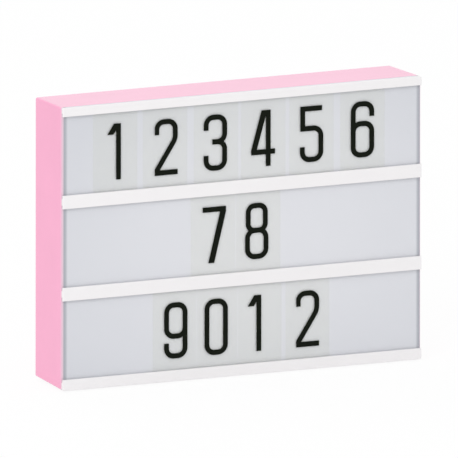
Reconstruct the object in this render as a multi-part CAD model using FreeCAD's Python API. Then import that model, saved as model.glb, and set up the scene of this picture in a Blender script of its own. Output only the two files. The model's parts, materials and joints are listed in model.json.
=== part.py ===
import FreeCAD, Part
import math
import os

# A battery-powered cinema light box: a shallow moulded housing closed by an opal sheet,
# with four letter rails across the front and thin letter tiles that slide behind their lips.
# Millimetres. X runs along the front, -Y faces the viewer, +Z is up, and the feet stand on Z = 0.

Vector = FreeCAD.Vector
x_axis = Vector(1, 0, 0)
y_axis = Vector(0, 1, 0)
z_axis = Vector(0, 0, 1)

# Driving dimensions of the box
box_width = 300.0
box_height = 220.0
box_depth = 55.0
back_inset = 1.5
foot_height = 1.0
corner_radius = 1.5
back_edge_radius = 1.2
inner_corner_radius = 1.0
wall = 2.3

# Layers behind the front, from the face of the rails inwards
face_thickness = 1.5
channel_width = 1.3
panel_thickness = 2.0
tile_thickness = 0.5

# Letter rails, counted upwards, and the tiles between them
bottom_rail_height = 8.5
middle_rail_height = 10.4
top_rail_height = 6.8
lip_reach = 2.6
face_edge_radius = 0.4
tile_foot_gap = 0.3
tile_grip = 1.6
tile_corner_radius = 1.0

# Centre and width of every tile in its row
tile_rows = {
    "top": [(-105.6, 37.0), (-63.8, 37.0), (-21.2, 37.0), (18.4, 37.0), (58.7, 37.0), (101.4, 37.0)],
    "middle": [(-23.6, 37.0), (14.2, 37.0)],
    "bottom": [(-55.8, 36.2), (-20.1, 33.6), (15.6, 36.2), (55.5, 36.4)],
}

# Frame inside the front and the pillars that take the housing screws
frame_clearance = 0.5
frame_width = 5.0
frame_depth = 8.0
pillar_radius = 3.6
pillar_columns = [-139.5, -60.0, 60.0, 139.5]
pillar_inset = 10.5
pilot_radius = 1.5
pilot_length = 13.5
cup_radius = 5.2
cup_clearance = 0.2
cup_depth = 3.0
seat_thickness = 2.2
screw_head_radius = 2.8
screw_head_height = 2.0
screw_head_depth = 2.4
screw_shank_radius = 1.45
screw_hole_clearance = 0.25
screw_shank_length = 12.0
screw_well_radius = 3.2
screw_slot_width = 0.8
screw_slot_reach = 1.7
screw_slot_depth = 0.9

# Keyholes for two wall screws
keyhole_spacing = 200.0
keyhole_height = 192.0
keyhole_radius = 4.25
keyhole_slot_width = 4.5
keyhole_slot_rise = 8.0
keyhole_pocket_half_width = 7.0
keyhole_pocket_below = 6.0
keyhole_pocket_above = 13.0
keyhole_pocket_depth = 5.4

# Feet
foot_radius = 5.0
foot_recess = 0.8
foot_fit = 0.1
foot_boss_radius = 6.5
foot_columns = [-125.0, 125.0]
foot_rows = [-14.0, 19.0]

# Recessed panel for the switch and the power socket
recess_left = 92.0
recess_right = 142.0
recess_low = 26.0
recess_high = 54.0
recess_depth = 5.5
recess_wall = 2.0
recess_corner_radius = 2.0
control_height = 40.0
switch_x = 104.0
socket_x = 130.0

# Battery bay: three rows of two cells, end to end
cell_radius = 7.25
cell_length = 50.5
cell_nub_radius = 2.7
cell_nub_length = 1.1
cell_base_radius = 6.3
cell_base_height = 0.3
cell_edge_radius = 0.6
row_pitch = 15.2
bay_centre_z = 60.5
bay_half_length = 54.0
bay_side_gap = 0.45
bay_floor_gap = 0.3
bay_wall = 1.6
bay_flange = 6.0
cell_door_gap = 0.6
plate_thickness = 0.4
plate_half_height = 5.5
ridge_width = 1.5
ridge_height = 3.0
tag_width = 4.4
tag_thickness = 0.6
tag_reach = 3.0
spring_base_radius = 3.9
spring_tip_radius = 2.2
spring_wall = 0.8

# Battery door
door_thickness = 2.0
door_half_width = 60.0
door_low = 34.0
door_high = 93.0
door_gap = 0.4
hook_columns = [-35.0, 35.0]
hook_width = 10.0
hook_reach = 2.6
hook_wall_gap = 1.1
hook_root_drop = 2.4
hook_root_width = 2.0
hook_rise = 4.0
hook_notch_clearance = 0.8
hook_notch_below = 3.0
latch_half_width = 9.0
latch_length = 12.0
latch_slot = 1.0
scoop_radius = 9.0
scoop_depth = 1.0
grip_rib_count = 3
grip_rib_pitch = 2.2
grip_rib_radius = 0.5
grip_rib_start = 2.0
grip_rib_inset = 3.0

# Boards and their posts
post_radius = 3.0
post_length = 5.0
board_thickness = 1.2
board_screw_radius = 0.9
board_screw_hole_radius = 0.95
board_screw_head_radius = 1.9
board_screw_head_height = 1.2
board_screw_length = 6.0
board_hole_clearance = 0.2
led_board_half_length = 130.0
led_board_half_height = 5.0
led_board_heights = {"lower": 112.0, "upper": 175.0}
led_post_columns = [-110.0, 0.0, 110.0]
led_columns = [-120.0, -72.0, -24.0, 24.0, 72.0, 120.0]
led_size = 5.0
led_height = 1.6
led_well_radius = 2.2
led_well_floor_radius = 1.8
led_well_depth = 0.6
driver_left = 70.0
driver_right = 118.0
driver_low = 64.0
driver_high = 92.0
driver_posts = [(74.0, 78.0), (114.0, 78.0)]
chip_place = (89.0, 82.5)
chip_size = (6.0, 5.0)
chip_height = 1.8
inductor_place = (100.0, 84.0)
inductor_radius = 3.5
inductor_height = 5.0
capacitor_place = (108.0, 86.0)
capacitor_radius = 2.5
capacitor_height = 8.0
resistor_place = (85.0, 75.2)
resistor_size = (2.0, 1.3)
resistor_height = 0.6
resistor_count = 4
resistor_pitch = 4.5
reflector_thickness = 0.5
reflector_margin = 2.0
reflector_clearance = 1.0
reflector_corner_radius = 4.0

# Rocker switch
flange_half_width = 7.5
flange_half_height = 10.5
flange_thickness = 1.7
flange_corner_radius = 1.5
case_half_width = 6.4
case_half_height = 9.4
case_depth = 15.2
case_floor = 1.5
rocker_radius = 8.0
rocker_half_width = 4.8
rocker_end_gap = 0.3
rocker_side_gap = 0.3
rocker_centre_height = 3.9
rocker_end_height = 5.1
rocker_skirt = 2.5
rocker_wall = 1.2
rocker_end_wall = 2.2
rocker_tube_root = 1.6
rocker_tilt = 8.0
pivot_depth = 2.9
trunnion_radius = 1.0
trunnion_clearance = 0.05
trunnion_length = 1.1
trunnion_end_gap = 0.1
plunger_tube_radius = 2.3
plunger_bore_radius = 1.4
plunger_radius = 1.3
plunger_tube_length = 6.0
plunger_bore_top = 1.0
plunger_top = -2.0
plunger_tip = -8.2
plunger_spring_gap = 0.1
plunger_spring_wire = 0.4
see_saw_half_length = 6.0
see_saw_half_width = 2.0
see_saw_thickness = 0.5
see_saw_pivot_drop = 9.6
see_saw_rise = 0.9
terminal_half_width = 2.0
terminal_thickness = 0.8
terminal_length = 5.5
terminal_fit = 0.05
terminal_pivot_gap = 0.4
contact_gap = 0.3

# Power socket
socket_hole_radius = 4.1
socket_barrel_radius = 4.0
socket_barrel_reach = 2.5
socket_body_radius = 5.5
socket_body_depth = 13.0
socket_mouth_radius = 3.2
socket_mouth_depth = 13.0
socket_pin_radius = 1.05
socket_pin_setback = 1.0
nut_radius = 5.8
nut_thickness = 2.0
socket_tag_length = 4.0
socket_tag_offset = 2.5
socket_tag_thickness = 0.5
socket_tag_width = 3.0

# Leads: where they meet the boards, how they leave their ends, and what they pass on the way
lead_radius = 0.7
lead_bend_share = 0.45
lead_rise = 8.0
positive_lead_route = [(67.0, 16.0, 64.0), (74.0, 6.0, 54.0), (90.0, -6.0, 44.0)]
negative_lead_route = [
    (-72.0, 16.0, 34.0), (-66.0, 12.0, 23.0), (-48.0, 10.0, 20.0), (-10.0, 9.0, 19.0), (30.0, 10.0, 19.0),
    (62.0, 9.0, 21.0), (74.0, 8.0, 34.0), (77.0, 7.0, 50.0), (77.0, 8.0, 62.0),
]
switch_lead_route = [(110.0, -5.0, 46.0), (111.0, 2.0, 59.0)]
negative_lead_pad = (78.0, 69.0)
switch_lead_pad = (104.0, 70.0)
socket_lead_pads = [(108.0, 68.0), (114.0, 68.0)]
socket_lead_turn = (-5.0, -6.0, 14.0)
socket_lead_approach = (3.0, 5.0, -4.0)
led_feed_columns = [80.0, 84.0]
led_feed_height = 88.0
led_link_columns = [-84.0, -80.0]
led_link_bow = (4.0, -9.0, 0.0)
led_lead_drop = 3.0
led_lead_rise = 6.0

# Places worked out from the driving dimensions
z_low = foot_height
z_high = foot_height + box_height
x_side = box_width / 2
y_front = -box_depth / 2
y_back = box_depth / 2
y_lip = y_front + face_thickness
y_panel = y_lip + channel_width
y_rim = y_panel + panel_thickness
y_inner = y_back - wall
y_tile = y_lip + (channel_width - tile_thickness) / 2
y_seat = y_back - screw_head_depth
y_pillar_end = y_seat - seat_thickness
y_recess = y_back - recess_depth
y_board = y_inner - post_length
y_door = y_back - door_thickness
y_cell = y_door - cell_door_gap - cell_radius
y_bay_floor = y_cell - cell_radius - bay_floor_gap
y_flange = y_recess + flange_thickness
y_pivot = y_flange - pivot_depth
bay_low = bay_centre_z - row_pitch - cell_radius - bay_side_gap
bay_high = bay_centre_z + row_pitch + cell_radius + bay_side_gap
row_heights = [bay_centre_z + row_pitch, bay_centre_z, bay_centre_z - row_pitch]
hinge_z = door_high - door_thickness / 2
hinge_y = y_door + door_thickness / 2

rails_height = bottom_rail_height + 2 * middle_rail_height + top_rail_height
window_height = (box_height - rails_height) / 3
tile_height = window_height + 2 * tile_grip
rail_spans = {}
rail_spans["bottom"] = (z_low, z_low + bottom_rail_height)
rail_spans["lower"] = (
    rail_spans["bottom"][1] + window_height,
    rail_spans["bottom"][1] + window_height + middle_rail_height,
)
rail_spans["upper"] = (
    rail_spans["lower"][1] + window_height,
    rail_spans["lower"][1] + window_height + middle_rail_height,
)
rail_spans["top"] = (z_high - top_rail_height, z_high)
row_rails = {"top": "upper", "middle": "lower", "bottom": "bottom"}


def block(x0, x1, y0, y1, z0, z1):
    """A box between two values on each axis."""
    return Part.makeBox(x1 - x0, y1 - y0, z1 - z0, Vector(x0, y0, z0))


def rod(start, direction, radius, length):
    return Part.makeCylinder(radius, length, start, direction)


def rod_y(x, z, radius, y0, y1):
    return rod(Vector(x, y0, z), y_axis, radius, y1 - y0)


def joined(shapes):
    """One solid from several that touch or overlap."""
    whole = shapes[0].multiFuse(shapes[1:]) if len(shapes) > 1 else shapes[0]
    return whole.removeSplitter()


def rounded_plate(x0, x1, y0, y1, z0, z1, radius):
    """A plate in the XZ plane whose four corners are round."""
    plate = block(x0, x1, y0, y1, z0, z1)
    corners = [edge for edge in plate.Edges if abs(edge.tangentAt(edge.FirstParameter).y) > 0.9]
    return plate.makeFillet(radius, corners)


def edges_at_y(shape, y):
    """Edges that lie wholly in the plane Y = y."""
    found = []
    for edge in shape.Edges:
        if all(abs(vertex.Y - y) < 1e-6 for vertex in edge.Vertexes):
            found.append(edge)
    return found


def pillar_places():
    heights = [z_low + pillar_inset, z_high - pillar_inset]
    return [(x, z) for x in pillar_columns for z in heights]


def led_post_places():
    return [(x, z) for z in led_board_heights.values() for x in led_post_columns]


def board_post_places():
    return led_post_places() + driver_posts


def keyhole_places():
    return [-keyhole_spacing / 2, keyhole_spacing / 2]


def drafted_block(margin, y0, y1, radius):
    """The box's outline less a margin, narrowing with the housing's draft, its corners round."""
    near, far = [margin + back_inset * (y - y_rim) / (y_back - y_rim) for y in (y0, y1)]
    solid = Part.makeWedge(
        -x_side + near, y0, z_low + near, z_low + far, -x_side + far,
        x_side - near, y1, z_high - near, z_high - far, x_side - far,
    )
    corners = [edge for edge in solid.Edges if abs(edge.tangentAt(edge.FirstParameter).y) > 0.9]
    return solid.makeFillet(radius, corners)


def housing_shell():
    outer = drafted_block(0, y_rim, y_back, corner_radius)
    outer = outer.makeFillet(back_edge_radius, edges_at_y(outer, y_back))
    return outer.cut(drafted_block(wall, y_rim - 1, y_inner, inner_corner_radius))


def foot_places():
    return [(x, y) for x in foot_columns for y in foot_rows]


def keyhole_pocket(x):
    """Closed box behind a keyhole, so that a wall screw can't reach the electrics."""
    return block(
        x - keyhole_pocket_half_width - recess_wall, x + keyhole_pocket_half_width + recess_wall,
        y_inner - keyhole_pocket_depth - recess_wall, y_inner,
        keyhole_height - keyhole_pocket_below - recess_wall,
        keyhole_height + keyhole_pocket_above + recess_wall,
    )


def keyhole_cut(x):
    pocket = block(
        x - keyhole_pocket_half_width, x + keyhole_pocket_half_width,
        y_inner - keyhole_pocket_depth, y_inner,
        keyhole_height - keyhole_pocket_below, keyhole_height + keyhole_pocket_above,
    )
    slot_top = keyhole_height + keyhole_slot_rise
    entry = rod_y(x, keyhole_height, keyhole_radius, y_inner - 1, y_back + 1)
    slot = block(
        x - keyhole_slot_width / 2, x + keyhole_slot_width / 2, y_inner - 1, y_back + 1,
        keyhole_height, slot_top,
    )
    slot_end = rod_y(x, slot_top, keyhole_slot_width / 2, y_inner - 1, y_back + 1)
    return joined([pocket, entry, slot, slot_end])


def rear_housing():
    added = [housing_shell()]
    for x, z in pillar_places():
        added.append(rod_y(x, z, cup_radius, y_pillar_end - cup_depth, y_inner))
    for x, z in board_post_places():
        added.append(rod_y(x, z, post_radius, y_board, y_inner))
    for x in keyhole_places():
        added.append(keyhole_pocket(x))
    for x, y in foot_places():
        added.append(rod(Vector(x, y, z_low), z_axis, foot_boss_radius, wall))
    added.append(block(
        recess_left - recess_wall, recess_right + recess_wall, y_recess - recess_wall, y_inner,
        recess_low - recess_wall, recess_high + recess_wall,
    ))
    housing = joined(added)

    removed = []
    for x, z in pillar_places():
        cup = rod_y(x, z, pillar_radius + cup_clearance, y_pillar_end - cup_depth - 1, y_pillar_end)
        clearance_hole = rod_y(x, z, screw_shank_radius + screw_hole_clearance, y_pillar_end - 1, y_seat + 1)
        removed.append(cup)
        removed.append(clearance_hole)
        removed.append(rod_y(x, z, screw_well_radius, y_seat, y_back + 1))
    for x, z in board_post_places():
        removed.append(rod_y(x, z, board_screw_hole_radius, y_board - 1, y_board + board_screw_length))
    for x in keyhole_places():
        removed.append(keyhole_cut(x))
    removed.append(block(
        -door_half_width - door_gap, door_half_width + door_gap, y_inner - 1, y_back + 1,
        door_low - door_gap, door_high + door_gap,
    ))
    removed.append(finger_notch())
    removed.append(rounded_recess())
    removed.append(block(
        switch_x - case_half_width, switch_x + case_half_width, y_recess - recess_wall - 1, y_recess + 1,
        control_height - case_half_height, control_height + case_half_height,
    ))
    removed.append(rod_y(
        socket_x, control_height, socket_hole_radius, y_recess - recess_wall - 1, y_recess + 1,
    ))
    for x, y in foot_places():
        removed.append(rod(Vector(x, y, z_low - 1), z_axis, foot_radius + foot_fit, foot_recess + 1))
    return housing.cut(removed)


def finger_notch():
    """Shallow notch below the door's latch, where a fingertip starts."""
    return rod(
        Vector(-latch_half_width, y_back + scoop_radius - scoop_depth, door_low - door_gap),
        x_axis, scoop_radius, 2 * latch_half_width,
    )


def rounded_recess():
    return rounded_plate(
        recess_left, recess_right, y_recess, y_back + 1, recess_low, recess_high, recess_corner_radius,
    )


def front_frame():
    """Ring behind the opal sheet, with the pillars that take the housing screws."""
    outset = wall + frame_clearance
    outer = rounded_plate(
        -x_side + outset, x_side - outset, y_rim, y_rim + frame_depth,
        z_low + outset, z_high - outset, inner_corner_radius,
    )
    inset = outset + frame_width
    opening = block(
        -x_side + inset, x_side - inset, y_rim - 1, y_rim + frame_depth + 1,
        z_low + inset, z_high - inset,
    )
    pieces = [outer.cut(opening)]
    for x, z in pillar_places():
        pieces.append(rod_y(x, z, pillar_radius, y_rim, y_pillar_end))
    frame = joined(pieces)
    pilots = []
    for x, z in pillar_places():
        pilots.append(rod_y(x, z, pilot_radius, y_pillar_end - pilot_length, y_pillar_end + 1))
    return frame.cut(pilots)


def diffuser_panel():
    return rounded_plate(-x_side, x_side, y_panel, y_rim, z_low, z_high, corner_radius)


def rail_outline(low, high, y0, y1):
    """A full-width strip of the front, cut to the box's rounded outline."""
    outline = rounded_plate(-x_side, x_side, y0, y1, z_low, z_high, corner_radius)
    return outline.common(block(-x_side, x_side, y0, y1, low, high))


def rail_spacer(name):
    low, high = rail_spans[name]
    if name != "bottom":
        low += lip_reach
    if name != "top":
        high -= lip_reach
    return rail_outline(low, high, y_lip, y_panel)


def rail_face(name):
    low, high = rail_spans[name]
    strip = rail_outline(low, high, y_front, y_lip)
    return strip.makeFillet(face_edge_radius, edges_at_y(strip, y_front))


def letter_tile(row, centre, width):
    foot = rail_spans[row_rails[row]][1] - lip_reach + tile_foot_gap
    return rounded_plate(
        centre - width / 2, centre + width / 2, y_tile, y_tile + tile_thickness,
        foot, foot + tile_height, tile_corner_radius,
    )


def reflector_sheet():
    """White card on the back wall, cut out round everything that stands on it."""
    edge = wall + back_inset + reflector_margin
    sheet = rounded_plate(
        -x_side + edge, x_side - edge, y_inner - reflector_thickness, y_inner,
        z_low + edge, z_high - edge, reflector_corner_radius,
    )
    y0 = y_inner - 1
    y1 = y_inner + 1
    gap = reflector_clearance
    removed = []
    for x, z in pillar_places():
        removed.append(rod_y(x, z, cup_radius + gap, y0, y1))
    for x, z in board_post_places():
        removed.append(rod_y(x, z, post_radius + gap / 2, y0, y1))
    for x in keyhole_places():
        half = keyhole_pocket_half_width + recess_wall + gap
        removed.append(block(
            x - half, x + half, y0, y1,
            keyhole_height - keyhole_pocket_below - recess_wall - gap,
            keyhole_height + keyhole_pocket_above + recess_wall + gap,
        ))
    removed.append(block(
        recess_left - recess_wall - gap, recess_right + recess_wall + gap, y0, y1,
        recess_low - recess_wall - gap, recess_high + recess_wall + gap,
    ))
    flange = bay_wall + bay_flange + gap
    removed.append(block(
        -bay_half_length - flange, bay_half_length + flange, y0, y1,
        bay_low - flange, door_high + bay_flange,
    ))
    return sheet.cut(removed)


def rubber_foot(x, y):
    pad = rod(Vector(x, y, 0), z_axis, foot_radius, foot_height + foot_recess)
    rim = [edge for edge in pad.Edges if len(edge.Vertexes) == 1 and abs(edge.Vertexes[0].Z) < 1e-6]
    return pad.makeFillet(foot_height / 2, rim)


def rubber_feet():
    return Part.makeCompound([rubber_foot(x, y) for x, y in foot_places()])


def housing_screw(x, z):
    shank = rod_y(x, z, screw_shank_radius, y_seat - screw_shank_length, y_seat)
    head = rod_y(x, z, screw_head_radius, y_seat, y_seat + screw_head_height)
    rim = edges_at_y(head, y_seat + screw_head_height)
    head = head.makeFillet(screw_head_height / 3, rim)
    y_slot = y_seat + screw_head_height - screw_slot_depth
    half = screw_slot_width / 2
    reach = screw_slot_reach
    slots = [
        block(x - reach, x + reach, y_slot, y_back, z - half, z + half),
        block(x - half, x + half, y_slot, y_back, z - reach, z + reach),
    ]
    return joined([shank, head]).cut(slots)


def housing_screws():
    return Part.makeCompound([housing_screw(x, z) for x, z in pillar_places()])


def board_screw(x, z):
    y_face = y_board - board_thickness
    head = rod_y(x, z, board_screw_head_radius, y_face - board_screw_head_height, y_face)
    shank = rod_y(x, z, board_screw_radius, y_face, y_face + board_screw_length)
    return joined([head, shank])


def board_screws():
    return Part.makeCompound([board_screw(x, z) for x, z in board_post_places()])


def drilled(board, places):
    radius = board_screw_radius + board_hole_clearance
    holes = [rod_y(x, z, radius, y_board - board_thickness - 1, y_board + 1) for x, z in places]
    return board.cut(holes)


def led_board(name):
    z = led_board_heights[name]
    board = block(
        -led_board_half_length, led_board_half_length, y_board - board_thickness, y_board,
        z - led_board_half_height, z + led_board_half_height,
    )
    return drilled(board, [(x, z) for x in led_post_columns])


def led_package(x, z):
    y_face = y_board - board_thickness
    half = led_size / 2
    package = block(x - half, x + half, y_face - led_height, y_face, z - half, z + half)
    well = Part.makeCone(
        led_well_radius, led_well_floor_radius, led_well_depth, Vector(x, y_face - led_height, z), y_axis,
    )
    return package.cut(well)


def led_packages():
    return Part.makeCompound([led_package(x, z) for z in led_board_heights.values() for x in led_columns])


def driver_board():
    board = block(
        driver_left, driver_right, y_board - board_thickness, y_board, driver_low, driver_high,
    )
    return drilled(board, driver_posts)


def driver_components():
    """Controller chip, inductor, capacitor and a row of chip resistors."""
    y_face = y_board - board_thickness
    parts = [
        chip(chip_place, chip_size, chip_height),
        rod_y(*inductor_place, inductor_radius, y_face - inductor_height, y_face),
        rod_y(*capacitor_place, capacitor_radius, y_face - capacitor_height, y_face),
    ]
    for step in range(resistor_count):
        place = (resistor_place[0] + resistor_pitch * step, resistor_place[1])
        parts.append(chip(place, resistor_size, resistor_height))
    return Part.makeCompound(parts)


def chip(place, size, height):
    """A flat case on the driver board's face, around its centre."""
    x, z = place
    width, breadth = size
    y_face = y_board - board_thickness
    return block(
        x - width / 2, x + width / 2, y_face - height, y_face, z - breadth / 2, z + breadth / 2,
    )


def battery_box():
    """Tub that holds the cells, glued by its flange to the inside of the back."""
    tub = block(
        -bay_half_length - bay_wall, bay_half_length + bay_wall, y_bay_floor - bay_wall, y_inner,
        bay_low - bay_wall, bay_high + bay_wall,
    )
    flange = block(
        -bay_half_length - bay_wall - bay_flange, bay_half_length + bay_wall + bay_flange,
        y_inner - bay_wall, y_inner, bay_low - bay_wall - bay_flange, door_high + bay_flange - 1,
    )
    bay = block(
        -bay_half_length, bay_half_length, y_bay_floor, y_inner + 1, bay_low, bay_high,
    )
    box = joined([tub, flange]).cut(bay)
    ridges = []
    for z in [bay_centre_z - row_pitch / 2, bay_centre_z + row_pitch / 2]:
        ridges.append(block(
            -bay_half_length + cell_radius, bay_half_length - cell_radius,
            y_bay_floor, y_bay_floor + ridge_height, z - ridge_width / 2, z + ridge_width / 2,
        ))
    box = joined([box] + ridges)
    notches = []
    for x in hook_columns:
        half = hook_width / 2 + hook_notch_clearance
        notches.append(block(
            x - half, x + half, y_inner - bay_wall - 1, y_inner + 1,
            hinge_z - hook_root_drop - hook_notch_below, door_high + bay_flange,
        ))
    for side, row in [(1, 0), (-1, 2)]:
        notches.append(terminal_tag(side, row, tag_thickness + 0.1, tag_width + 0.1))
    return box.cut(notches)


def terminal_tag(side, row, thickness, width):
    """Solder tag that runs from a terminal plate out through the end wall."""
    x0 = side * (bay_half_length - plate_thickness)
    x1 = side * (bay_half_length + bay_wall + tag_reach)
    y = y_cell + cell_radius / 2
    z = row_heights[row]
    return block(
        min(x0, x1), max(x0, x1), y - thickness / 2, y + thickness / 2, z - width / 2, z + width / 2,
    )


def end_plate(side, first_row, last_row):
    """Contact plate on an end wall, tall enough for the rows that it joins."""
    x0 = side * (bay_half_length - plate_thickness)
    x1 = side * bay_half_length
    return block(
        min(x0, x1), max(x0, x1), y_cell - plate_half_height, y_cell + plate_half_height,
        row_heights[last_row] - plate_half_height, row_heights[first_row] + plate_half_height,
    )


def battery_positive_terminal():
    return joined([end_plate(1, 0, 0), terminal_tag(1, 0, tag_thickness, tag_width)])


def battery_negative_terminal():
    return joined([end_plate(-1, 2, 2), terminal_tag(-1, 2, tag_thickness, tag_width)])


def battery_contact_springs():
    """Conical contact springs at the flat end of each row, pressed by the cells."""
    springs = []
    for row, side in enumerate([-1, 1, -1]):
        base = Vector(side * (bay_half_length - plate_thickness), y_cell, row_heights[row])
        direction = Vector(-side, 0, 0)
        length = spring_length()
        outer = Part.makeCone(spring_base_radius, spring_tip_radius, length, base, direction)
        inner = Part.makeCone(
            spring_base_radius - spring_wall, spring_tip_radius - spring_wall, length, base, direction,
        )
        springs.append(outer.cut(inner))
    return Part.makeCompound(springs)


def spring_length():
    return 2 * (bay_half_length - plate_thickness - cell_length)


def battery_cell(row, column):
    """One cell, its nub towards the end of the row that has no spring."""
    toward = 1 if row in (0, 2) else -1
    tip = toward * (bay_half_length - plate_thickness)
    if column == 1:
        tip -= toward * cell_length
    direction = Vector(-toward, 0, 0)
    centre = Vector(tip, y_cell, row_heights[row])
    nub = rod(centre, direction, cell_nub_radius, cell_nub_length)
    shoulder = centre + direction * cell_nub_length
    can_length = cell_length - cell_nub_length - cell_base_height
    can = rod(shoulder, direction, cell_radius, can_length)
    rims = [edge for edge in can.Edges if len(edge.Vertexes) == 1]
    can = can.makeFillet(cell_edge_radius, rims)
    base = rod(shoulder + direction * can_length, direction, cell_base_radius, cell_base_height)
    return joined([nub, can, base])


def door_hooks():
    """Hooks that reach in below the hinge edge and up behind the housing's back."""
    hooks = []
    z_root = hinge_z - hook_root_drop
    for x in hook_columns:
        x0 = x - hook_width / 2
        x1 = x + hook_width / 2
        hooks.append(block(x0, x1, y_door - hook_reach, y_door, z_root, z_root + hook_root_width))
        hooks.append(block(
            x0, x1, y_door - hook_reach, y_door - hook_wall_gap, z_root, hinge_z + hook_rise,
        ))
    return hooks


def battery_door():
    plate = block(
        -door_half_width, door_half_width, y_door, y_back, door_low, hinge_z,
    )
    knuckle = rod(Vector(-door_half_width, hinge_y, hinge_z), x_axis, door_thickness / 2, 2 * door_half_width)
    door = joined([plate, knuckle] + door_hooks())
    half = latch_half_width - latch_slot
    scoop_centre = Vector(-half, y_back + scoop_radius - scoop_depth, door_low + latch_length / 3)
    removed = [rod(scoop_centre, x_axis, scoop_radius, 2 * half)]
    for side in (-1, 1):
        x0 = side * latch_half_width - latch_slot / 2
        removed.append(block(
            x0, x0 + latch_slot, y_door - 1, y_back + 1, door_low - 1, door_low + latch_length,
        ))
    door = door.cut(removed)
    ribs = []
    for step in range(grip_rib_count):
        z = door_low + grip_rib_start + grip_rib_pitch * step
        half = latch_half_width - grip_rib_inset
        ribs.append(rod(Vector(-half, y_back - scoop_depth, z), x_axis, grip_rib_radius, 2 * half))
    return joined([door] + ribs)


def switch_case():
    """Snap-in body of the rocker switch with its flange and the sockets for the trunnions."""
    z = control_height
    flange = rounded_plate(
        switch_x - flange_half_width, switch_x + flange_half_width, y_recess, y_flange,
        z - flange_half_height, z + flange_half_height, flange_corner_radius,
    )
    body = block(
        switch_x - case_half_width, switch_x + case_half_width, y_flange - case_depth, y_recess,
        z - case_half_height, z + case_half_height,
    )
    case = joined([flange, body])
    cavity = block(
        switch_x - rocker_half_width - rocker_side_gap, switch_x + rocker_half_width + rocker_side_gap,
        y_flange - case_depth + case_floor, y_flange + 1,
        z - rocker_radius - rocker_end_gap, z + rocker_radius + rocker_end_gap,
    )
    reach = rocker_half_width + trunnion_length + trunnion_end_gap
    sockets = rod(
        Vector(switch_x - reach, y_pivot, z), x_axis, trunnion_radius + trunnion_clearance, 2 * reach,
    )
    slots = [cavity, sockets]
    half_width = terminal_half_width + terminal_fit
    half_height = terminal_thickness / 2 + terminal_fit
    for terminal_z in terminal_heights():
        slots.append(block(
            switch_x - half_width, switch_x + half_width,
            y_flange - case_depth - 1, y_flange - case_depth + case_floor + 1,
            terminal_z - half_height, terminal_z + half_height,
        ))
    return case.cut(slots)


def terminal_heights():
    """Heights of the common terminal and the switched one."""
    return [control_height, control_height - see_saw_half_length]


def tilted(shape, y, degrees):
    """The shape turned about an X axis through the switch at depth y."""
    turned = shape.copy()
    turned.rotate(Vector(switch_x, y, control_height), x_axis, degrees)
    return turned


def switch_rocker():
    """Rocker at its off rest, with trunnions and the tube that carries the plunger."""
    z = control_height
    x0 = switch_x - rocker_half_width
    ends = rod(Vector(x0, y_pivot, z), x_axis, rocker_radius, 2 * rocker_half_width)
    corners = [
        (-rocker_radius, -rocker_skirt), (rocker_radius, -rocker_skirt),
        (rocker_radius, rocker_end_height), (0, rocker_centre_height), (-rocker_radius, rocker_end_height),
    ]
    points = [Vector(x0, y_pivot + rise, z + along) for along, rise in corners]
    profile = Part.Face(Part.makePolygon(points + points[:1]))
    cap = profile.extrude(Vector(2 * rocker_half_width, 0, 0)).common(ends)
    hollow = block(
        x0 + rocker_wall, x0 + 2 * rocker_half_width - rocker_wall,
        y_pivot - rocker_skirt - 1, y_pivot + rocker_wall,
        z - rocker_radius + rocker_end_wall, z + rocker_radius - rocker_end_wall,
    )
    cap = cap.cut(hollow)
    reach = rocker_half_width + trunnion_length
    trunnions = rod(Vector(switch_x - reach, y_pivot, z), x_axis, trunnion_radius, 2 * reach)
    tube = rod_y(switch_x, z, plunger_tube_radius, y_pivot - plunger_tube_length, y_pivot + rocker_tube_root)
    bore = rod_y(
        switch_x, z, plunger_bore_radius, y_pivot - plunger_tube_length - 1, y_pivot + plunger_bore_top,
    )
    rocker = joined([cap, trunnions, tube]).cut(bore)
    return tilted(rocker, y_pivot, -rocker_tilt)


def switch_plunger():
    y_tip = y_pivot + plunger_tip + plunger_radius
    shank = rod_y(switch_x, control_height, plunger_radius, y_tip, y_pivot + plunger_top)
    tip = Part.makeSphere(plunger_radius, Vector(switch_x, y_tip, control_height))
    return tilted(joined([shank, tip]), y_pivot, -rocker_tilt)


def switch_spring():
    """Spring that presses the plunger, drawn as the sleeve that its coils fill."""
    y0 = y_pivot + plunger_top
    y1 = y_pivot + plunger_bore_top
    radius = plunger_bore_radius - plunger_spring_gap
    outer = rod_y(switch_x, control_height, radius, y0, y1)
    inner = rod_y(switch_x, control_height, radius - plunger_spring_wire, y0, y1)
    return tilted(outer.cut(inner), y_pivot, -rocker_tilt)


def switch_see_saw():
    """Moving contact that tips onto the switched terminal."""
    y_pin = y_pivot - see_saw_pivot_drop
    top = y_pin + see_saw_rise
    plate = block(
        switch_x - see_saw_half_width, switch_x + see_saw_half_width, top - see_saw_thickness, top,
        control_height - see_saw_half_length, control_height + see_saw_half_length,
    )
    return tilted(plate, y_pin, rocker_tilt)


def switch_terminals():
    """Common terminal under the see-saw's middle, and the one that its lower arm reaches."""
    underside = y_pivot - see_saw_pivot_drop + see_saw_rise - see_saw_thickness
    arm_drop = see_saw_half_length * math.sin(math.radians(rocker_tilt))
    tops = [underside - terminal_pivot_gap, underside - arm_drop - contact_gap]
    blades = []
    for terminal_z, top in zip(terminal_heights(), tops):
        blade = block(
            switch_x - terminal_half_width, switch_x + terminal_half_width,
            y_flange - case_depth - terminal_length, top,
            terminal_z - terminal_thickness / 2, terminal_z + terminal_thickness / 2,
        )
        blades.append(blade)
    return Part.makeCompound(blades)


def socket_rod(radius, y0, y1):
    return rod_y(socket_x, control_height, radius, y0, y1)


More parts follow.
